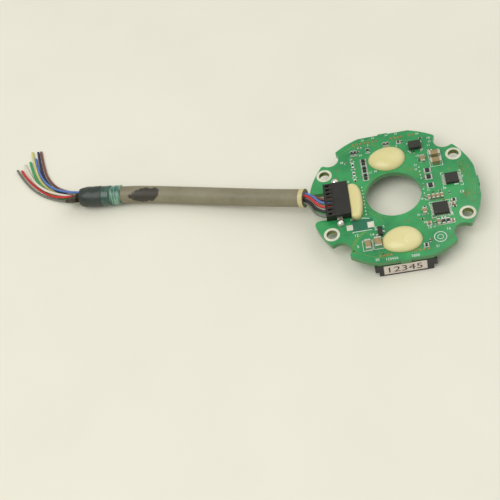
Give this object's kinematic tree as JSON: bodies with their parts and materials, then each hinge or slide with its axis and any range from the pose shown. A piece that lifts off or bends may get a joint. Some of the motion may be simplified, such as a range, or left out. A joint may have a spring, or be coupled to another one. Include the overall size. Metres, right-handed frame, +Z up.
{
  "type": "servo encoder board with cable",
  "caption": "Round green servo feedback board with a shaft hole, read heads underneath and a plug-in cable that ends in bare wires.",
  "frame": {"origin": "centre of the shaft hole on the board's underside", "axes": "+Z up, square to the board and out of its component side; the cable leaves towards -X; the labelled read head is at -Y"},
  "size_m": [0.1497, 0.0746, 0.0095],
  "materials": {
    "green_laminate": "green solder mask over copper on glass laminate, satin gloss",
    "tin_plate": "tinned copper, satin",
    "black_nylon": "moulded black nylon, low sheen",
    "solder": "solder, bright",
    "cream_glue": "cured cream glue, soft gloss",
    "chip_resin": "black epoxy package, fine matt grain",
    "tan_ceramic": "unglazed tan ceramic",
    "resistor_glaze": "black glass glaze",
    "black_resin": "moulded black resin, satin",
    "cream_label": "paper label, matt, plain digits",
    "window_glass": "polished glass",
    "clear_resin": "clear lamp resin",
    "grey_vinyl": "grey vinyl jacket, satin, scuffed",
    "braid": "tinned copper braid",
    "cream_tape": "cream wrap",
    "dark_sleeve": "dark shrink sleeve, glossy",
    "green_tape": "green tape, glossy",
    "frayed_braid": "tarnished frayed braid",
    "insulation_brown": "brown vinyl insulation, satin",
    "insulation_navy": "navy vinyl insulation, satin",
    "insulation_blue": "blue vinyl insulation, satin",
    "insulation_green": "green vinyl insulation, satin",
    "insulation_red": "red vinyl insulation, satin",
    "insulation_white": "white vinyl insulation, satin",
    "insulation_black": "black vinyl insulation, satin",
    "insulation_yellow": "yellow vinyl insulation, satin",
    "insulation_grey": "grey vinyl insulation, satin"
  },
  "bodies": {
    "board": {"circuit_board": "green_laminate", "screw_hole_rings": "tin_plate", "bare_pads": "tin_plate", "header_housing": "black_nylon", "header_pins": "tin_plate", "header_hold_downs": "tin_plate", "hold_down_solder": "solder", "header_glue": "cream_glue", "near_glue_blob": "cream_glue", "far_glue_blob": "cream_glue", "controller_chip": "chip_resin", "controller_leads": "tin_plate", "driver_chip": "chip_resin", "driver_leads": "tin_plate", "regulator_chip": "chip_resin", "regulator_leads": "tin_plate", "transistor_body": "chip_resin", "transistor_leads": "tin_plate", "large_capacitors": "tan_ceramic", "large_capacitor_ends": "solder", "small_capacitors": "tan_ceramic", "small_capacitor_ends": "solder", "resistors": "resistor_glaze", "resistor_ends": "solder", "memory_chip": "chip_resin", "memory_chip_leads": "tin_plate", "underside_capacitors": "tan_ceramic", "underside_capacitor_ends": "solder", "near_head_housing": "black_resin", "far_head_housing": "black_resin", "head_label": "cream_label", "head_windows": "window_glass", "head_lamps": "clear_resin", "head_sensor_chips": "chip_resin", "head_legs": "tin_plate"},
    "cable": {"plug_housing": "black_nylon", "plug_terminals": "tin_plate", "cable_jacket": "grey_vinyl", "cable_shield": "braid", "jacket_end_band": "cream_tape", "dark_sleeve": "dark_sleeve", "green_tape": "green_tape", "shield_tail": "frayed_braid", "wire_brown": "insulation_brown", "wire_navy": "insulation_navy", "wire_blue": "insulation_blue", "wire_green": "insulation_green", "wire_red": "insulation_red", "wire_white": "insulation_white", "wire_black": "insulation_black", "wire_yellow": "insulation_yellow", "wire_grey": "insulation_grey"}
  },
  "joints": [
    {"name": "plug_slide", "type": "slide", "parent": "board", "child": "cable", "axis": [-1, 0, 0], "range_m": [0, 0.004]}
  ]
}
